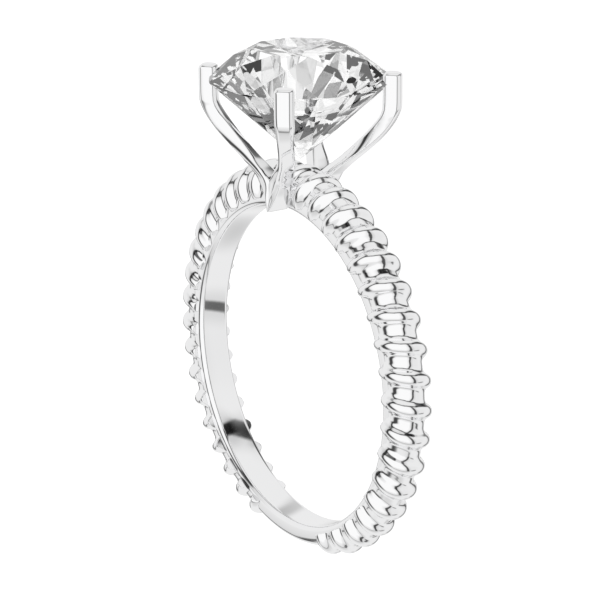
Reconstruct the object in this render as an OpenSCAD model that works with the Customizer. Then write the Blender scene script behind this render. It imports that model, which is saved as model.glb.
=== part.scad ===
// Solitaire ring with a twisted rope shank, lying on its side. Sizes in millimetres, angles in degrees.
// The ring is drawn with its bore along Y and the stone towards +Z, and is then laid on its back side.
// Hoop angles are counted from the stone, so the middle of the bare stretch of band is at 180.
// Angles round the rope are counted from straight outward.

/* [Inner band] */
// radius of the finger hole
bore_r = 8.5; // [7.5:0.05:11]
// width of the plain band along the finger
band_w = 1.8; // [1.4:0.05:3]
// thickness of the plain band
band_t = 1.1; // [0.9:0.05:2]
// rounding of the band's edges at the finger
comfort_r = 0.26; // [0.1:0.01:0.4]
// rounding of the band's outer edges
edge_r = 0.5; // [0.2:0.01:0.6]

/* [Rope shank] */
// radius of the rope between its ridges
core_r = 0.95; // [0.6:0.01:1.4]
// height of a ridge over the core
ridge_h = 0.32; // [0.1:0.01:0.6]
// part of each turn that its ridge fills
ridge_share = 0.55; // [0.3:0.01:0.9]
// height of the rope's centre over the finger hole at the stone
rope_rise = 1.02; // [0.8:0.01:1.5]
// how much lower the rope's centre lies at the bare stretch
rope_sink = 0.66; // [0:0.01:1]
// how late the rope starts to sink
sink_power = 2; // [1:0.1:4]
// half angle of the bare stretch of band
bare_half = 17; // [5:0.5:60]
// hoop angle of one turn of the ridge
turn_step = 8.68; // [5:0.01:20]
// how far the turns are drawn together towards the stone
turn_swing = 2.6; // [0:0.1:10]
// how far the turns are drawn from one arm towards the other
turn_tilt = 1.9; // [0:0.1:10]
// share of a turn reached at the stone
top_phase = 0.56; // [0:0.01:1]
// angle round the rope up to which a ridge keeps its height
ridge_full = 128; // [60:1:140]
// angle round the rope where a ridge has died away
ridge_gone = 160; // [141:1:165]
// length of the rope's rounded tips
tip_l = 0.68; // [0.2:0.01:1.5]
// metal left between the rope's underside and the finger hole
rope_cover = 0.35; // [0.1:0.01:0.6]

/* [Round brilliant] */
// radius of the girdle
girdle_r = 4.62; // [3:0.01:6]
// height of the girdle's middle over the bore's centre
girdle_z = 15.2; // [14:0.05:18]
// thickness of the girdle at its corners
girdle_t = 0.12; // [0.02:0.01:0.4]
// corner radius of the table
table_r = 2.43; // [1:0.01:2.8]
// height of the table over the girdle's middle
crown_h = 1.64; // [0.5:0.01:3]
// depth of the culet under the girdle's middle
pavilion_h = 4.2; // [2:0.01:4.3]
// share of the crown's width that the star facets take
star_share = 0.5; // [0.3:0.01:0.7]
// share of the pavilion's width that the lower girdle facets take
lower_share = 0.77; // [0.5:0.01:0.9]
// plan angle of a table corner
stone_turn = 22; // [0:0.5:45]

/* [Head] */
// clearance round the stone in its seats
seat_gap = 0.04; // [0.02:0.01:0.2]
// rounding of the legs' corners
leg_round = 0.16; // [0.02:0.01:0.3]
// how far each leg reaches past the middle of its V foot
foot_lap = 0.03; // [0.01:0.01:0.1]

/* [Hidden] */

silver = [0.82, 0.83, 0.85];
clear = [0.85, 0.93, 0.98];

// columns of the leg table: height, centre x, centre y, turn outward from x, half thickness, half width,
// and the share of that width left at the inner face
Z = 0;
CX = 1;
CY = 2;
TURN = 3;
HT = 4;
HW = 5;
INNER = 6;
LEG = [
    [ 8.58, 0.02, -1.43,  0, 0.05, 0.62, 1.00],
    [ 9.30, 0.21, -1.43,  0, 0.24, 0.62, 1.00],
    [10.10, 0.50, -1.51,  1, 0.47, 0.62, 0.95],
    [10.60, 0.93, -1.71,  4, 0.46, 0.60, 0.80],
    [11.20, 1.58, -2.00, 12, 0.47, 0.56, 0.60],
    [11.80, 2.17, -2.33, 22, 0.50, 0.53, 0.55],
    [12.40, 2.69, -2.65, 31, 0.51, 0.51, 0.60],
    [12.90, 3.05, -2.89, 37, 0.50, 0.50, 0.70],
    [13.30, 3.29, -3.06, 40, 0.47, 0.50, 0.85],
    [13.65, 3.44, -3.18, 42, 0.45, 0.51, 0.95],
    [13.95, 3.49, -3.25, 43, 0.45, 0.52, 1.00],
    [14.40, 3.50, -3.27, 43, 0.45, 0.52, 1.00],
    [15.65, 3.50, -3.27, 43, 0.45, 0.52, 1.00],
    [15.75, 3.50, -3.27, 43, 0.35, 0.42, 1.00]
];
// points on each rounded corner of a leg
corner_n = 4;

// cone faces on each rounded edge of the band
edge_steps = 3;
comfort_steps = 2;

// the rope's surface as rings of points
rings_per_turn = 8;
section_n = 16;
// angle round the rope up to which a ring follows the ridge
follow = 130;
// turns over which the rings come to follow the ridge
lean = 1.5;
tip_rings = 3;
end_a = 180 - bare_half;
tip_a = tip_l / (bore_r + rope_rise - rope_sink) * 180 / PI;

// the ring lies on the girdle and on the ridges next to its bare stretch
lie_angle = atan((girdle_r - core_r - ridge_h) / (girdle_z + bore_r * cos(bare_half)));

function ramp(x) = let (c = min(max(x, 0), 1)) c * c * (3 - 2 * c);

// turns the ridge has made at an angle a from the stone
function turns(a) = top_phase + (a + turn_swing * sin(a) + turn_tilt * cos(a)) / turn_step;

// angle from the stone at which the ridge has made t turns, found by repeated correction
function angle_at(t, a = 0, n = 6) =
    n == 0 ? a : angle_at(t, (t - top_phase) * turn_step - turn_swing * sin(a) - turn_tilt * cos(a), n - 1);

// radius of the rope's centre line
function rope_centre(a) = bore_r + rope_rise - rope_sink * pow((1 - cos(a)) / 2, sink_power);

// height of the ridge over the core: a half round crest that dies away towards the finger
function ridge(a, f) =
    let (
        t = turns(a) - f / 360,
        u = abs(t - round(t)) * 2 / ridge_share,
        lift = u < 1 ? sqrt(1 - u * u) : 0
    )
    ridge_h * lift * (1 - ramp((abs(f) - ridge_full) / (ridge_gone - ridge_full)));

// share of the full section: 1 along the rope, falling to 0 round its tips
function tip(a) = let (u = min(max((end_a - abs(a)) / tip_a, 0), 1)) sqrt(1 - (1 - u) * (1 - u));

// a point of the rope's surface, kept clear of the finger hole
function rope_point(a, f) =
    let (
        s = (core_r + ridge(a, f)) * tip(a),
        r = max(rope_centre(a) + s * cos(f), bore_r + rope_cover)
    )
    [r * sin(a), s * sin(f), r * cos(a)];

// how far a ring's point is led along the ridge, in turns
function lead(f) = (abs(f) <= follow ? f : sign(f) * (180 - abs(f)) * follow / (180 - follow)) / 360;

// a rope ring: each of its points at nearly the same height of the ridge
function rope_ring(t, w) = [
    for (k = [0 : section_n - 1])
        let (f = 180 - (k + 0.5) * 360 / section_n) rope_point(angle_at(t + w * lead(f)), f)
];

// triangles between closed rings of n points that follow each other from a first to a last point
function skin(rings, n) = concat(
    [for (j = [0 : n - 1]) [0, 1 + j, 1 + (j + 1) % n]],
    [
        for (i = [0 : rings - 2], j = [0 : n - 1])
            let (a = 1 + i * n + j, b = 1 + i * n + (j + 1) % n) each [[a, b + n, b], [a, a + n, b + n]]
    ],
    [
        for (j = [0 : n - 1])
            let (a = 1 + (rings - 1) * n) [a + j, 1 + rings * n, a + (j + 1) % n]
    ]
);

// the four corners of a leg's section and the points round each
function leg_ring(row) =
    let (
        r = min(leg_round, row[HT] * 0.8),
        out = [cos(row[TURN]), -sin(row[TURN])],
        along = [sin(row[TURN]), cos(row[TURN])]
    )
    [
        for (q = [0 : 3], k = [0 : corner_n - 1])
            let (
                c = q * 90 + k * 90 / (corner_n - 1),
                x = (q == 0 || q == 3 ? 1 : -1) * (row[HT] - r) + r * cos(c),
                taper = 1 - (1 - row[INNER]) * (row[HT] - x) / (2 * row[HT]),
                y = ((q < 2 ? 1 : -1) * (row[HW] - r) + r * sin(c)) * taper
            )
            [
                max(row[CX] + out[0] * x + along[0] * y, -foot_lap),
                row[CY] + out[1] * x + along[1] * y,
                row[Z]
            ]
    ];

module laid() {
    rotate([lie_angle - 90, 0, 0])
        children();
}

// points round a quarter of a rounded edge
function quarter(x, y, r, from, n) = [
    for (k = [0 : n]) [x + r * cos(from + k * 90 / n), y + r * sin(from + k * 90 / n)]
];

module inner_band() {
    half = band_w / 2;
    far = bore_r + band_t;
    rotate([90, 0, 0])
        rotate_extrude($fn = 180)
            polygon(concat(
                quarter(far - edge_r, half - edge_r, edge_r, 0, edge_steps),
                quarter(bore_r + comfort_r, half - comfort_r, comfort_r, 90, comfort_steps),
                quarter(bore_r + comfort_r, comfort_r - half, comfort_r, 180, comfort_steps),
                quarter(far - edge_r, edge_r - half, edge_r, 270, edge_steps)
            ));
}

module rope() {
    t0 = turns(tip_a - end_a);
    t1 = turns(end_a - tip_a);
    n = ceil((t1 - t0) * rings_per_turn);
    tips = [for (k = [1 : tip_rings]) tip_a * (1 - cos(k * 90 / (tip_rings + 1)))];
    rings = concat(
        [for (k = [0 : tip_rings - 1]) rope_ring(turns(tips[k] - end_a), 0)],
        [
            for (i = [0 : n])
                let (t = t0 + i * (t1 - t0) / n) rope_ring(t, ramp(min(t - t0, t1 - t) / lean))
        ],
        [for (k = [tip_rings - 1 : -1 : 0]) rope_ring(turns(end_a - tips[k]), 0)]
    );
    first = rope_centre(end_a);
    end = [first * sin(end_a), 0, first * cos(end_a)];
    points = concat([[-end[0], 0, end[2]]], [for (r = rings) each r], [end]);
    polyhedron(points, skin(len(rings), section_n));
}

module leg() {
    rings = [for (row = LEG) leg_ring(row)];
    last = len(LEG) - 1;
    foot = [LEG[0][CX], LEG[0][CY], LEG[0][Z]];
    top = [LEG[last][CX], LEG[last][CY], LEG[last][Z]];
    points = concat([foot], [for (r = rings) each r], [top]);
    polyhedron(points, skin(len(rings), 4 * corner_n));
}

module seats() {
    wide = girdle_r + seat_gap;
    half = girdle_t / 2 + seat_gap;
    translate([0, 0, girdle_z])
        rotate_extrude($fn = 120)
            polygon([
                [0, -pavilion_h - seat_gap],
                [wide, -half],
                [wide, half],
                [table_r + seat_gap, crown_h + seat_gap],
                [0, crown_h + seat_gap]
            ]);
}

module mounting() {
    color(silver)
        laid()
            union() {
                inner_band();
                rope();
                difference() {
                    for (m = [0, 1], n = [0, 1])
                        mirror([m, 0, 0])
                            mirror([0, n, 0])
                                leg();
                    seats();
                }
            }
}

module brilliant() {
    mid = cos(22.5);
    near = cos(11.25);
    top = girdle_t / 2;
    crown_slope = (crown_h - top) / (girdle_r - table_r);
    pavilion_slope = (pavilion_h - top) / girdle_r;
    star_r = table_r * mid + star_share * (girdle_r - table_r * mid);
    star_z = crown_h - (star_r * mid - table_r) * crown_slope;
    lower_r = girdle_r * (1 - lower_share);
    lower_z = lower_r * mid * pavilion_slope - pavilion_h;
    up = (star_z - top) / (girdle_r - star_r);
    down = (-top - lower_z) / (girdle_r - lower_r);
    edge_z = (top / up - top / down) / (1 / up + 1 / down);
    edge_r1 = girdle_r + (top - edge_z) / up;
    points = concat(
        [for (k = [0 : 7]) [table_r * cos(45 * k), table_r * sin(45 * k), crown_h]],
        [for (k = [0 : 7]) [star_r * cos(45 * k + 22.5), star_r * sin(45 * k + 22.5), star_z]],
        [for (k = [0 : 7]) [girdle_r * cos(45 * k), girdle_r * sin(45 * k), top]],
        [for (k = [0 : 15]) [edge_r1 * cos(22.5 * k), edge_r1 * sin(22.5 * k), edge_z]],
        [for (k = [0 : 7]) [girdle_r * cos(45 * k), girdle_r * sin(45 * k), -top]],
        [for (k = [0 : 7]) [lower_r * cos(45 * k + 22.5), lower_r * sin(45 * k + 22.5), lower_z]],
        [[0, 0, -pavilion_h]]
    );
    star = 8;
    upper = 16;
    edge = 24;
    under = 40;
    lower = 48;
    culet = 56;
    faces = concat(
        [[for (k = [7 : -1 : 0]) k]],
        [
            for (k = [0 : 7])
                let (n = (k + 1) % 8, p = (k + 7) % 8)
                each [
                    [k, n, star + k],
                    [k, star + k, upper + k, star + p],
                    [star + k, edge + 2 * k + 1, edge + 2 * k, upper + k],
                    [star + k, upper + n, edge + 2 * n, edge + 2 * k + 1],
                    [lower + k, under + k, edge + 2 * k, edge + 2 * k + 1],
                    [lower + k, edge + 2 * k + 1, edge + 2 * n, under + n],
                    [culet, under + k, lower + k],
                    [culet, lower + p, under + k]
                ]
        ]
    );
    polyhedron(points, faces);
}

module stone() {
    color(clear)
        laid()
            translate([0, 0, girdle_z])
                rotate([0, 0, stone_turn])
                    intersection() {
                        brilliant();
                        cylinder(h = 2 * (crown_h + pavilion_h), r = girdle_r, center = true, $fn = 180);
                    }
}

mounting();
stone();
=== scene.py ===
"""A white gold solitaire with a twisted rope shank, lying on its side on a pale floor.

The ring is worked out with its finger hole along Y and its stone towards +Z, in millimetres, and each piece is
then laid on its back side as the frame has it. Hoop angles are counted from the stone.
"""

import bpy
import numpy as np
from mathutils import Matrix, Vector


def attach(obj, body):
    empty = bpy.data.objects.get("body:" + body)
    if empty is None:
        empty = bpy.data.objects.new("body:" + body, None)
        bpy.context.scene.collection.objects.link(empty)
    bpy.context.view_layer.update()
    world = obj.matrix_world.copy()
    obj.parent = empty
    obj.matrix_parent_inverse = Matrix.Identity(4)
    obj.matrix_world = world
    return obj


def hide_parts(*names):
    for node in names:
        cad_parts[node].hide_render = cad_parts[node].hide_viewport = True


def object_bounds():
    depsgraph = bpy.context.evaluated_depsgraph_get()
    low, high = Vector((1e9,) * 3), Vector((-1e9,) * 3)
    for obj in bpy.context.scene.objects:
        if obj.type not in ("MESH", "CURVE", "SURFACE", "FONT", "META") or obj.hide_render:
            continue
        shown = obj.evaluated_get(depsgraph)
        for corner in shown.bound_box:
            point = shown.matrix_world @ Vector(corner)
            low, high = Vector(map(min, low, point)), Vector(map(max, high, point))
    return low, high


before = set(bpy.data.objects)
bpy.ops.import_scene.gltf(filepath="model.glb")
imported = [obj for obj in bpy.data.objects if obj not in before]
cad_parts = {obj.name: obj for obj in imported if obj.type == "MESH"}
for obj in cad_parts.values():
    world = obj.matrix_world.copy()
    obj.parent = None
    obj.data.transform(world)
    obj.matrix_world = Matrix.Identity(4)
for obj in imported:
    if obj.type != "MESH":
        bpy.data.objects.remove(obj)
cad_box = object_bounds()

# The inner band: a plain ring of polished white gold that carries the rope. Its wall at the finger is flat with
# softly rounded edges, and it shows bare at the bottom, where the ring can be sized.
BORE_R = 8.5
BAND_W = 1.8
BAND_T = 1.1
COMFORT_R = 0.26
EDGE_R = 0.5
BARE_HALF = np.radians(17)

# The two places that touch the floor: the rope's crests beside the bare stretch, and the stone's girdle.
CREST_R = 1.27
GIRDLE_R = 4.62
GIRDLE_Z = 15.2
MM = 0.001


def laid(points):
    """Millimetres in the upright ring to metres as it lies: a turn about X that brings its back side to the floor,
    at the slope of the line from the lowest ridges, next to the bare stretch, to the stone's girdle."""
    slope = np.arctan((GIRDLE_R - CREST_R) / (GIRDLE_Z + BORE_R * np.cos(BARE_HALF)))
    x, y, z = np.moveaxis(np.asarray(points, float), -1, 0)
    s, c = np.sin(slope), np.cos(slope)
    return np.stack([x, s * y + c * z, s * z - c * y], axis=-1) * MM


def grid_faces(rows, columns, close_rows=False, start=0):
    """Quads between neighbouring rows of a grid whose columns run round and close on themselves."""
    i = np.arange(rows if close_rows else rows - 1)[:, None]
    j = np.arange(columns)[None, :]
    n, m = (i + 1) % rows * columns, (j + 1) % columns
    i = i * columns
    return start + np.stack([i + j, n + j, n + m, i + m], axis=-1).reshape(-1, 4)


def metal_piece(name, points, faces, material):
    """A smooth mesh from upright millimetre points, that rides on the ring and takes the metal's finish."""
    mesh = bpy.data.meshes.new(name)
    mesh.from_pydata(laid(points).tolist(), [], [list(map(int, f)) for f in faces])
    mesh.polygons.foreach_set("use_smooth", np.ones(len(mesh.polygons), bool))
    mesh.materials.append(material)
    piece = bpy.data.objects.new(name, mesh)
    bpy.context.scene.collection.objects.link(piece)
    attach(piece, "root")
    return piece


CLOUD_SCALE = 900.0
HAIR_SCALE = 6000.0
HAIR_STRETCH = 0.08
HAIR_HEIGHT = 0.002 * MM
CLOUD_TONE = 0.03
BRIGHT_METAL = (0.965, 0.965, 0.97, 1.0)
DULL_METAL = (0.86, 0.87, 0.89, 1.0)


def handling_marks():
    """A node group for metal that has been worn a little: faint cloudy patches in the polish, and hair-fine wipe
    marks. Cloud and Hair are the two scales, Base the roughness between the patches, and Haze the most that the
    patches add to it."""
    group = bpy.data.node_groups.new("handling_marks", "ShaderNodeTree")
    for label, value in (("Cloud", CLOUD_SCALE), ("Hair", HAIR_SCALE), ("Haze", 0.02), ("Base", 0.03)):
        group.interface.new_socket(label, in_out="INPUT", socket_type="NodeSocketFloat").default_value = value
    group.interface.new_socket("Roughness", in_out="OUTPUT", socket_type="NodeSocketFloat")
    group.interface.new_socket("Tone", in_out="OUTPUT", socket_type="NodeSocketFloat")
    group.interface.new_socket("Height", in_out="OUTPUT", socket_type="NodeSocketFloat")
    node, link = group.nodes.new, group.links.new
    given, out = node("NodeGroupInput"), node("NodeGroupOutput")
    place = node("ShaderNodeTexCoord")
    cloud = node("ShaderNodeTexNoise")
    cloud.inputs["Detail"].default_value = 3.0
    hair = node("ShaderNodeTexNoise")
    hair.inputs["Detail"].default_value = 1.0
    stretch = node("ShaderNodeMapping")
    stretch.inputs["Scale"].default_value = (1.0, HAIR_STRETCH, 1.0)
    link(place.outputs["Object"], cloud.inputs["Vector"])
    link(place.outputs["Object"], stretch.inputs["Vector"])
    link(stretch.outputs["Vector"], hair.inputs["Vector"])
    link(given.outputs["Cloud"], cloud.inputs["Scale"])
    link(given.outputs["Hair"], hair.inputs["Scale"])
    haze = node("ShaderNodeMath")
    haze.operation = "MULTIPLY_ADD"
    link(cloud.outputs["Fac"], haze.inputs[0])
    link(given.outputs["Haze"], haze.inputs[1])
    link(given.outputs["Base"], haze.inputs[2])
    tone = node("ShaderNodeMath")
    tone.operation = "MULTIPLY_ADD"
    tone.inputs[1].default_value = -CLOUD_TONE
    tone.inputs[2].default_value = 1.0
    link(cloud.outputs["Fac"], tone.inputs[0])
    link(haze.outputs["Value"], out.inputs["Roughness"])
    link(tone.outputs["Value"], out.inputs["Tone"])
    link(hair.outputs["Fac"], out.inputs["Height"])
    return group


def polished_metal(name, marks, base, haze, hair_depth):
    """Mirror-polished white gold: a bright, almost colourless metal with the handling marks in its polish. Base and
    haze are roughnesses, and hair_depth is the strength of the wipe marks."""
    material = bpy.data.materials.new(name)
    material.use_nodes = True
    nodes, link = material.node_tree.nodes, material.node_tree.links.new
    shader = nodes["Principled BSDF"]
    shader.inputs["Metallic"].default_value = 1.0
    wear = nodes.new("ShaderNodeGroup")
    wear.node_tree = marks
    wear.inputs["Base"].default_value = base
    wear.inputs["Haze"].default_value = haze
    colour = nodes.new("ShaderNodeMix")
    colour.data_type = "RGBA"
    dull, bright = [socket for socket in colour.inputs if socket.name in "AB" and socket.type == "RGBA"]
    dull.default_value = DULL_METAL
    bright.default_value = BRIGHT_METAL
    bump = nodes.new("ShaderNodeBump")
    bump.inputs["Strength"].default_value = hair_depth
    bump.inputs["Distance"].default_value = HAIR_HEIGHT
    link(wear.outputs["Tone"], colour.inputs[0])
    link(colour.outputs[2], shader.inputs["Base Color"])
    link(wear.outputs["Roughness"], shader.inputs["Roughness"])
    link(wear.outputs["Height"], bump.inputs["Height"])
    link(bump.outputs["Normal"], shader.inputs["Normal"])
    return material


def band_surface(around=720, arc=10):
    """A rounded oblong profile carried round the finger hole: the radius and the place along the finger run through
    four quarter circles, two of the outer and two of the comfort radius, joined by flats."""
    half, far = BAND_W / 2, BORE_R + BAND_T
    corners = (
        (far - EDGE_R, half - EDGE_R, EDGE_R, 0),
        (BORE_R + COMFORT_R, half - COMFORT_R, COMFORT_R, 90),
        (BORE_R + COMFORT_R, COMFORT_R - half, COMFORT_R, 180),
        (far - EDGE_R, EDGE_R - half, EDGE_R, 270),
    )
    profile = []
    for r, y, size, start in corners:
        a = np.radians(start + np.linspace(0, 90, arc))
        profile.append(np.stack([r + size * np.cos(a), y + size * np.sin(a)], axis=-1))
    r, y = np.concatenate(profile).T
    a = np.linspace(0, 2 * np.pi, around, endpoint=False)[:, None]
    return np.stack([r * np.sin(a), y + 0 * a, r * np.cos(a)], axis=-1)


marks = handling_marks()
band_metal = polished_metal("band_polish", marks, base=0.035, haze=0.03, hair_depth=0.15)
points = band_surface()
band = metal_piece("inner_band", points.reshape(-1, 3), grid_faces(*points.shape[:2], close_rows=True), band_metal)
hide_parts("mounting")

# The rope shank: a round core wound with one half round wire, soldered and polished as one. The wire keeps its
# height on the outside and the flanks and dies away towards the finger, and the rope ends in two rounded tips.
CORE_R = 0.93
RIDGE_H = 0.36
CREST_ROUND = 0.42
FILLET_ROUND = 0.37
PITCH = 1.6
ROPE_RISE = 1.02
ROPE_SINK = 0.66
SINK_POWER = 2.0
TURN_STEP = np.radians(8.68)
TURN_SWING = np.radians(2.6)
TURN_TILT = np.radians(1.9)
TOP_PHASE = 0.56
RIDGE_FULL = np.radians(128)
RIDGE_GONE = np.radians(160)
FOLLOW = np.radians(130)
LEAN_TURNS = 1.5
TIP_L = 0.68
TIP_RINGS = 12
ROPE_COVER = 0.35


def ramp(x):
    """0 up to 0, 1 from 1 on, and a smooth cubic between."""
    x = np.clip(x, 0, 1)
    return x * x * (3 - 2 * x)


def turns(a):
    """Turns of the wire at an angle from the stone: even turns, but for a slow sway once round the hoop and a
    drift from one arm towards the other."""
    return TOP_PHASE + (a + TURN_SWING * np.sin(a) + TURN_TILT * np.cos(a)) / TURN_STEP


def angle_at(t):
    """The angle from the stone where the wire has made t turns: the formula of turns, solved by repetition."""
    a = 0 * t
    for _ in range(12):
        a = (t - TOP_PHASE) * TURN_STEP - TURN_SWING * np.sin(a) - TURN_TILT * np.cos(a)
    return a


def ridge(a, f):
    """Height of the wire over the core: an arc over the crest and a hollow arc at the foot, which meet at the one
    slope that makes them as high as the wire, less a share that grows towards the finger."""
    off = np.abs((turns(a) - f / (2 * np.pi) + 0.5) % 1 - 0.5) * PITCH
    both = CREST_ROUND + FILLET_ROUND
    slope = np.arccos(1 - RIDGE_H / both)
    crest = RIDGE_H - CREST_ROUND + np.sqrt(np.clip(CREST_ROUND**2 - off**2, 0, None))
    left = np.clip(both * np.sin(slope) - off, 0, FILLET_ROUND)
    foot = FILLET_ROUND - np.sqrt(FILLET_ROUND**2 - left**2)
    lift = np.where(off < CREST_ROUND * np.sin(slope), crest, foot)
    return lift * (1 - ramp((np.abs(f) - RIDGE_FULL) / (RIDGE_GONE - RIDGE_FULL)))


def rope_surface(per_turn=26, around=72):
    """Rings round the rope's centre line, each led along the wire so that its points keep one height of the wire,
    and upright again within LEAN_TURNS of the ends. A point stands off the centre by the core plus the wire, less
    at the tips, where it follows a round cap."""
    end = np.pi - BARE_HALF
    tip = TIP_L / (BORE_R + ROPE_RISE - ROPE_SINK)
    f = np.pi - (np.arange(around) + 0.5) * 2 * np.pi / around
    back_again = np.sign(f) * (np.pi - np.abs(f)) * FOLLOW / (np.pi - FOLLOW)
    lead = np.where(np.abs(f) < FOLLOW, f, back_again) / (2 * np.pi)
    cap = tip * (1 - np.cos(np.linspace(0, np.pi / 2, TIP_RINGS + 2)[1:-1]))
    first, last = turns(tip - end), turns(end - tip)
    body = np.linspace(first, last, int(per_turn * (last - first)))
    t = np.concatenate([turns(cap - end), body, turns(end - cap[::-1])])[:, None]
    lean = ramp(np.minimum(t - first, last - t) / LEAN_TURNS)
    a = angle_at(t + lean * lead)
    u = np.clip((end - np.abs(a)) / tip, 0, 1)
    s = (CORE_R + ridge(a, f)) * np.sqrt(1 - (1 - u) ** 2)
    centre = BORE_R + ROPE_RISE - ROPE_SINK * ((1 - np.cos(a)) / 2) ** SINK_POWER
    r = np.maximum(centre + s * np.cos(f), BORE_R + ROPE_COVER)
    return np.stack([r * np.sin(a), s * np.sin(f), r * np.cos(a)], axis=-1)


def capped(points):
    """A grid whose columns run round, closed at both ends by a fan to a pole in the middle of each end."""
    rows, columns = points.shape[:2]
    poles = np.stack([points[0].mean(axis=0), points[-1].mean(axis=0)])
    j = np.arange(columns)
    m = (j + 1) % columns
    count = rows * columns
    near = np.stack([j, m, 0 * j + count], axis=-1)
    far = np.stack([count - columns + m, count - columns + j, 0 * j + count + 1], axis=-1)
    faces = grid_faces(rows, columns).tolist() + near.tolist() + far.tolist()
    return np.concatenate([points.reshape(-1, 3), poles]), faces


rope_metal = polished_metal("rope_polish", marks, base=0.04, haze=0.03, hair_depth=0.1)
rope = metal_piece("rope_shank", *capped(rope_surface()), rope_metal)

# The head: four square-cut prongs of the same metal. Each comes down straight beside the stone, bends inward and
# joins its neighbour in a V foot, one at the front and one at the back of the shank. The girdle sinks into all four.
# Columns: height, centre x, centre y, turn outward from x, half thickness, half width, inner face's share of it.
LEG = np.array(
    [
        (8.50, 0.00, -1.43, 0, 0.03, 0.62, 1.00),
        (9.30, 0.21, -1.43, 0, 0.24, 0.62, 1.00),
        (10.10, 0.50, -1.51, 1, 0.47, 0.62, 0.95),
        (10.60, 0.93, -1.71, 4, 0.46, 0.60, 0.80),
        (11.20, 1.58, -2.00, 12, 0.47, 0.56, 0.60),
        (11.80, 2.17, -2.33, 22, 0.50, 0.53, 0.55),
        (12.40, 2.69, -2.65, 31, 0.51, 0.51, 0.60),
        (12.90, 3.05, -2.89, 37, 0.50, 0.50, 0.70),
        (13.30, 3.29, -3.06, 40, 0.47, 0.50, 0.85),
        (13.65, 3.44, -3.18, 42, 0.45, 0.51, 0.95),
        (13.95, 3.49, -3.25, 43, 0.45, 0.52, 1.00),
        (14.40, 3.50, -3.27, 43, 0.45, 0.52, 1.00),
        (15.76, 3.50, -3.27, 43, 0.45, 0.52, 1.00),
    ]
)
LEG_ROUND = 0.18
TOP_ROUND = 0.18
SIDE_CROWN = 0.27
ROUND_SHARE = 0.8


def smooth_rows(table, heights):
    """The table's columns at any height: a cubic between rows whose slope at each row is the harmonic mean of the
    two beside it, so that straight stretches stay straight and nothing overshoots."""
    z, v = table[:, 0], table[:, 1:]
    step = np.diff(z)[:, None]
    rise = np.diff(v, axis=0) / step
    a, b = rise[:-1], rise[1:]
    same = a * b > 0
    slope = np.zeros_like(v)
    slope[1:-1] = np.where(same, 2 * a * b / np.where(same, a + b, 1), 0)
    slope[0], slope[-1] = rise[0], rise[-1]
    i = np.clip(np.searchsorted(z, heights, side="right") - 1, 0, len(z) - 2)
    h = step[i]
    t = ((heights - z[i])[:, None]) / h
    return (
        (1 + 2 * t) * (1 - t) ** 2 * v[i]
        + t * (1 - t) ** 2 * h * slope[i]
        + t * t * (3 - 2 * t) * v[i + 1]
        + t * t * (t - 1) * h * slope[i + 1]
    )


def leg_surface(levels=150, corner=9):
    """A rounded oblong with bowed sides, carried up the table, level at every height and turned outward as it
    climbs. Its top edge is a quarter round, it narrows towards its inner face, and the half of it that would pass
    the middle of the V foot is held at the middle."""
    bend = LEG[-1, 0] - TOP_ROUND
    rise = TOP_ROUND * np.sin(np.linspace(0, np.pi / 2, corner))
    z = np.concatenate([np.linspace(LEG[0, 0], bend, levels), bend + rise[1:]])
    shrink = TOP_ROUND - np.sqrt(TOP_ROUND**2 - np.clip(z - bend, 0, TOP_ROUND) ** 2)
    cx, cy, turn, ht, hw, inner = smooth_rows(LEG, z).T
    ht, hw, inner, turn = (v[:, None] for v in (ht - shrink, hw - shrink, inner, np.radians(turn)))
    r = np.minimum(LEG_ROUND, ht * ROUND_SHARE)
    c = np.radians(np.arange(4)[:, None] * 90 + np.linspace(0, 90, corner)).ravel()
    out = np.repeat([1, -1, -1, 1], corner) * (ht - r) + r * np.cos(c)
    along = np.repeat([1, 1, -1, -1], corner) * (hw - r) + r * np.sin(c)
    along = along * (1 - (1 - inner) * (ht - out) / (2 * ht)) * (1 - SIDE_CROWN * (out / ht) ** 2)
    x = cx[:, None] + np.cos(turn) * out + np.sin(turn) * along
    y = cy[:, None] - np.sin(turn) * out + np.cos(turn) * along
    return np.stack([np.maximum(x, 0), y, z[:, None] + 0 * x], axis=-1)


head_metal = polished_metal("head_polish", marks, base=0.03, haze=0.02, hair_depth=0.1)
points, faces = capped(leg_surface())
mirrored = [face[::-1] for face in faces]
metal_piece("prong_right_front", points, faces, head_metal)
metal_piece("prong_left_front", points * (-1, 1, 1), mirrored, head_metal)
metal_piece("prong_right_back", points * (1, -1, 1), mirrored, head_metal)
metal_piece("prong_left_back", points * (-1, -1, 1), faces, head_metal)

# The stone: a round brilliant of clear diamond, cut with flat facets from girdle to point and held by its girdle
# between the prongs. Its facets are the frame's own.
DIAMOND_IOR = 2.417


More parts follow.
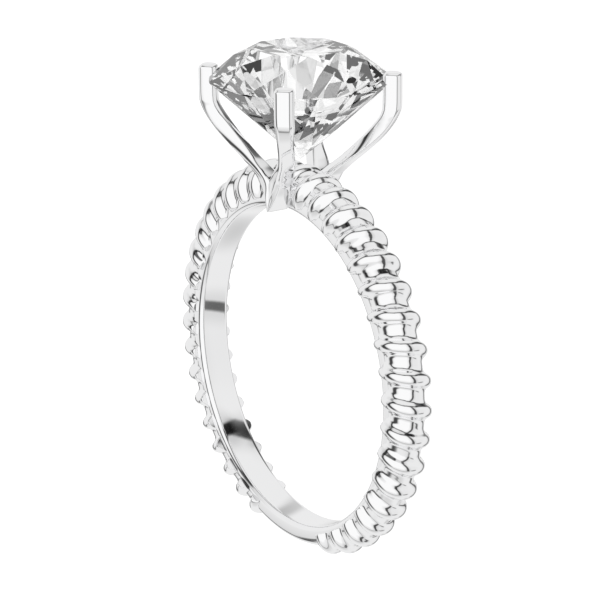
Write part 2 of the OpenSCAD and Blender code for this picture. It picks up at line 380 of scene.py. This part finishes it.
def clear_diamond():
    """Clear glass of diamond's refraction. Light that comes from the polished metal passes it by, so the metal's
    clean lines aren't broken up by the stone's sparkle."""
    material = bpy.data.materials.new("brilliant")
    material.use_nodes = True
    node, link = material.node_tree.nodes.new, material.node_tree.links.new
    shader = material.node_tree.nodes["Principled BSDF"]
    shader.inputs["Roughness"].default_value = 0.0
    shader.inputs["IOR"].default_value = DIAMOND_IOR
    shader.inputs["Transmission Weight"].default_value = 1.0
    shader.inputs["Base Color"].default_value = (1, 1, 1, 1)
    ray = node("ShaderNodeLightPath")
    outside = node("ShaderNodeMath")
    outside.operation = "LESS_THAN"
    outside.inputs[1].default_value = 0.5
    link(ray.outputs["Transmission Depth"], outside.inputs[0])
    from_metal = node("ShaderNodeMath")
    from_metal.operation = "MULTIPLY"
    link(ray.outputs["Is Glossy Ray"], from_metal.inputs[0])
    link(outside.outputs["Value"], from_metal.inputs[1])
    choose = node("ShaderNodeMixShader")
    link(from_metal.outputs["Value"], choose.inputs[0])
    link(shader.outputs["BSDF"], choose.inputs[1])
    link(node("ShaderNodeBsdfTransparent").outputs["BSDF"], choose.inputs[2])
    link(choose.outputs["Shader"], material.node_tree.nodes["Material Output"].inputs["Surface"])
    return material


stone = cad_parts["stone"]
stone.data.materials.clear()
stone.data.materials.append(clear_diamond())

# The setting for the picture: a pale floor that glows a little, a light tent all round whose bright panels are
# parted by dark seams, as the polish shows them, and a long lens.
FLOOR_HALF = 400 * MM
FLOOR_DROP = 0.02 * MM
PAPER_GREY = 0.4
PAPER_GLOW = 0.85

floor_mesh = bpy.data.meshes.new("floor")
floor_z = cad_box[0][2] - FLOOR_DROP
corners = [(-FLOOR_HALF, -FLOOR_HALF), (FLOOR_HALF, -FLOOR_HALF), (FLOOR_HALF, FLOOR_HALF), (-FLOOR_HALF, FLOOR_HALF)]
floor_mesh.from_pydata([(x, y, floor_z) for x, y in corners], [], [(0, 1, 2, 3)])
floor = bpy.data.objects.new("floor", floor_mesh)
bpy.context.scene.collection.objects.link(floor)
paper = bpy.data.materials.new("pale_paper")
paper.use_nodes = True
shader = paper.node_tree.nodes["Principled BSDF"]
shader.inputs["Base Color"].default_value = (PAPER_GREY, PAPER_GREY, PAPER_GREY, 1)
shader.inputs["Roughness"].default_value = 1.0
shader.inputs["Specular IOR Level"].default_value = 0.0
shader.inputs["Emission Color"].default_value = (1, 1, 1, 1)
shader.inputs["Emission Strength"].default_value = PAPER_GLOW
floor_mesh.materials.append(paper)
floor.visible_glossy = False
floor.visible_transmission = False

# Seams and grey patches of the tent, in the upright ring's own directions. Columns, in degrees: azimuth and
# height of one end, azimuth and height of the other, half width, softness, and last the share of light lost. A
# half width of 180 makes a cap round the strip's middle, and a share below 0 makes a brighter panel.
SEAMS = (
    (-102, 6, 2, 6, 39, 3, -0.16),
    (-10, -90, 10, -90, 180, 4, 0.1),
    (28, 0, 50, 0, 180, 6, 0.05),
    (7, -40, 8, 25, 6, 2.5, 0.9),
    (8, 22, 14, 52, 5.5, 2.5, 0.85),
    (-32, 55, 46, 46, 4.5, 1.5, 0.97),
    (44, 46.5, 72, 45, 5, 1.5, 1.0),
    (70, 45, 92, 35, 8, 2, 1.0),
    (90, 36, 108, 20, 9, 2, 1.0),
    (107, 22, 113, 7, 8, 2, 0.95),
    (108, 4, 94, -46, 6, 3, 0.85),
    (-103, 62, -114, -2, 6, 2, 0.9),
    (-116, 2, -94, -34, 13, 6, 0.93),
    (-102, -36, 14, -40, 2.5, 1.5, 0.6),
    (-110, 46, -30, 53, 5, 2, 0.85),
    (-104, 60, -172, 50, 4, 2, 0.6),
    (24, -33, 46, -22, 3.5, 1.5, 0.85),
    (-80, -62, 0, -62, 12, 8, 0.16),
    (-138, -26, -168, -44, 3, 2, 0.85),
    (-168, -44, 176, -14, 5, 2, 0.85),
    (150, 36, 168, 42, 5, 3, 0.5),
    (104, -58, 118, -54, 5, 5, 0.45),
    (136, 33, 146, 33, 6, 4, 0.4),
    (138, -19, 168, -19, 6, 4, 0.7),
)
PANEL = 0.86
THROUGH = 1.3
GLOW = 0.1
DARK_SEAM = 0.5
SKIRT = 0.2
SKIRT_REACH = 0.28


def seam_group():
    """A node group for one soft-edged strip on the sphere of directions: a share of the light is lost near the
    great circle whose pole is Pole, within Reach of its Middle, and a small part of that share in a wide skirt
    beyond the strip's sides. Reach is a cosine and Half Width a sine."""
    group = bpy.data.node_groups.new("tent_seam", "ShaderNodeTree")
    for label in ("Direction", "Pole", "Middle"):
        group.interface.new_socket(label, in_out="INPUT", socket_type="NodeSocketVector")
    for label in ("Reach", "Half Width", "Softness", "Loss", "Skirt"):
        group.interface.new_socket(label, in_out="INPUT", socket_type="NodeSocketFloat")
    group.interface.new_socket("Light", in_out="OUTPUT", socket_type="NodeSocketFloat")
    node, link = group.nodes.new, group.links.new
    given, out = node("NodeGroupInput"), node("NodeGroupOutput")

    def give(value, socket):
        if isinstance(value, float):
            socket.default_value = value
        else:
            link(value, socket)

    def sum_of(operation, first, second):
        n = node("ShaderNodeMath")
        n.operation = operation
        give(first, n.inputs[0])
        give(second, n.inputs[1])
        return n.outputs[0]

    def along(label):
        n = node("ShaderNodeVectorMath")
        n.operation = "DOT_PRODUCT"
        link(given.outputs["Direction"], n.inputs[0])
        link(given.outputs[label], n.inputs[1])
        return n.outputs["Value"]

    def soft_step(inside, least, most):
        n = node("ShaderNodeMapRange")
        n.interpolation_type = "SMOOTHSTEP"
        give(inside, n.inputs["Value"])
        give(least, n.inputs["From Min"])
        give(most, n.inputs["From Max"])
        return n.outputs["Result"]

    soft = given.outputs["Softness"]
    hard = sum_of("MULTIPLY", soft, -1.0)
    inside = sum_of("SUBTRACT", given.outputs["Half Width"], sum_of("ABSOLUTE", along("Pole"), 0.0))
    strip = soft_step(inside, hard, soft)
    skirt = sum_of("MULTIPLY", soft_step(inside, -SKIRT_REACH, 0.0), given.outputs["Skirt"])
    across = sum_of("MAXIMUM", strip, skirt)
    end = soft_step(sum_of("SUBTRACT", along("Middle"), given.outputs["Reach"]), hard, soft)
    lost = sum_of("MULTIPLY", sum_of("MULTIPLY", across, end), given.outputs["Loss"])
    link(sum_of("SUBTRACT", 1.0, lost), out.inputs["Light"])
    return group


def bearing(azimuth, height):
    """The unit direction at an azimuth from +X towards +Y and a height over the level, as the ring lies."""
    a, h = np.radians(azimuth), np.radians(height)
    return laid(np.array([np.cos(a) * np.cos(h), np.sin(a) * np.cos(h), np.sin(h)])) / MM


def tent_world():
    """The world: one even brightness less each seam's share, plain white wherever the camera looks past the ring,
    and a little brighter and paler where it is seen through the stone."""
    world = bpy.data.worlds.new("light_tent")
    world.use_nodes = True
    world.cycles.sampling_method = "NONE"
    nodes, link = world.node_tree.nodes, world.node_tree.links.new
    where = nodes.new("ShaderNodeTexCoord")
    seam = seam_group()
    light = None
    for a1, h1, a2, h2, half, soft, loss in SEAMS:
        one, two = bearing(a1, h1), bearing(a2, h2)
        pole = np.cross(one, two)
        middle = (one + two) / np.linalg.norm(one + two)
        strip = nodes.new("ShaderNodeGroup")
        strip.node_tree = seam
        strip.inputs["Pole"].default_value = pole / np.linalg.norm(pole)
        strip.inputs["Middle"].default_value = middle
        reach = np.arccos(np.clip(one @ middle, -1, 1)) + np.radians(soft)
        strip.inputs["Reach"].default_value = np.cos(reach)
        strip.inputs["Half Width"].default_value = np.sin(np.radians(half)) if half < 90 else 2.0
        strip.inputs["Softness"].default_value = np.sin(np.radians(soft))
        strip.inputs["Loss"].default_value = loss
        strip.inputs["Skirt"].default_value = SKIRT if loss > DARK_SEAM else 0.0
        link(where.outputs["Generated"], strip.inputs["Direction"])
        if light is None:
            light = strip.outputs["Light"]
            continue
        both = nodes.new("ShaderNodeMath")
        both.operation = "MULTIPLY"
        link(light, both.inputs[0])
        link(strip.outputs["Light"], both.inputs[1])
        light = both.outputs[0]
    ray = nodes.new("ShaderNodeLightPath")
    panels = nodes["Background"]
    gain = nodes.new("ShaderNodeMapRange")
    gain.inputs["To Min"].default_value = PANEL
    gain.inputs["To Max"].default_value = PANEL * THROUGH
    link(light, panels.inputs["Color"])
    link(ray.outputs["Is Transmission Ray"], gain.inputs["Value"])
    link(gain.outputs["Result"], panels.inputs["Strength"])
    white = nodes.new("ShaderNodeBackground")
    white.inputs["Color"].default_value = (1, 1, 1, 1)
    share = nodes.new("ShaderNodeMath")
    share.operation = "MULTIPLY_ADD"
    share.inputs[1].default_value = GLOW
    link(ray.outputs["Is Transmission Ray"], share.inputs[0])
    link(ray.outputs["Is Camera Ray"], share.inputs[2])
    choose = nodes.new("ShaderNodeMixShader")
    link(share.outputs["Value"], choose.inputs[0])
    link(panels.outputs["Background"], choose.inputs[1])
    link(white.outputs["Background"], choose.inputs[2])
    link(choose.outputs["Shader"], nodes["World Output"].inputs["Surface"])
    return world


bpy.context.scene.world = tent_world()
bpy.context.scene.view_settings.view_transform = "Standard"

# The lens: its turn, rise and roll round the upright ring in degrees, its distance from the finger hole's centre in
# millimetres, its focal length in pixels, and where that centre stands in a picture of 600 by 600 pixels.
VIEW_TURN = np.radians(56.29)
VIEW_RISE = np.radians(18.52)
VIEW_ROLL = np.radians(-0.24)
VIEW_AWAY = 146.29
VIEW_PIXELS = 2800.9
HOLE_AT = (301.1, 363.5)
PICTURE = 600
FILM_W = 36
NEAR = 10 * MM
FAR = 5000 * MM


def upright_view():
    """The camera's three axes in the upright ring: turned and raised round the finger hole, rolled, then swung by
    the least turn that brings the finger hole's centre to its place in the picture."""
    level_back = np.array([np.sin(VIEW_TURN), -np.cos(VIEW_TURN), 0])
    back = np.cos(VIEW_RISE) * level_back + [0, 0, np.sin(VIEW_RISE)]
    right = np.array([np.cos(VIEW_TURN), np.sin(VIEW_TURN), 0])
    up = np.cross(back, right)
    c, s = np.cos(VIEW_ROLL), np.sin(VIEW_ROLL)
    level = np.stack([c * right + s * up, c * up - s * right, -back])
    half = PICTURE / 2
    aim = np.array([(HOLE_AT[0] - half) / VIEW_PIXELS, (half - HOLE_AT[1]) / VIEW_PIXELS, 1])
    aim /= np.linalg.norm(aim)
    v = np.cross([0, 0, 1], aim)
    k = np.array([[0, -v[2], v[1]], [v[2], 0, -v[0]], [-v[1], v[0], 0]])
    swing = np.eye(3) + k + k @ k * (1 - aim[2]) / (v @ v)
    return back, swing @ level


back, axes = upright_view()
place = laid(back * VIEW_AWAY)
axes = laid(axes) / MM
camera_data = bpy.data.cameras.new("camera")
camera_data.sensor_width = FILM_W
camera_data.lens = VIEW_PIXELS * FILM_W / PICTURE
camera_data.clip_start = NEAR
camera_data.clip_end = FAR
camera = bpy.data.objects.new("camera", camera_data)
bpy.context.scene.collection.objects.link(camera)
matrix = np.eye(4)
matrix[:3, 0], matrix[:3, 1], matrix[:3, 2], matrix[:3, 3] = axes[0], axes[1], -axes[2], place
camera.matrix_world = Matrix(matrix.tolist())
bpy.context.scene.camera = camera
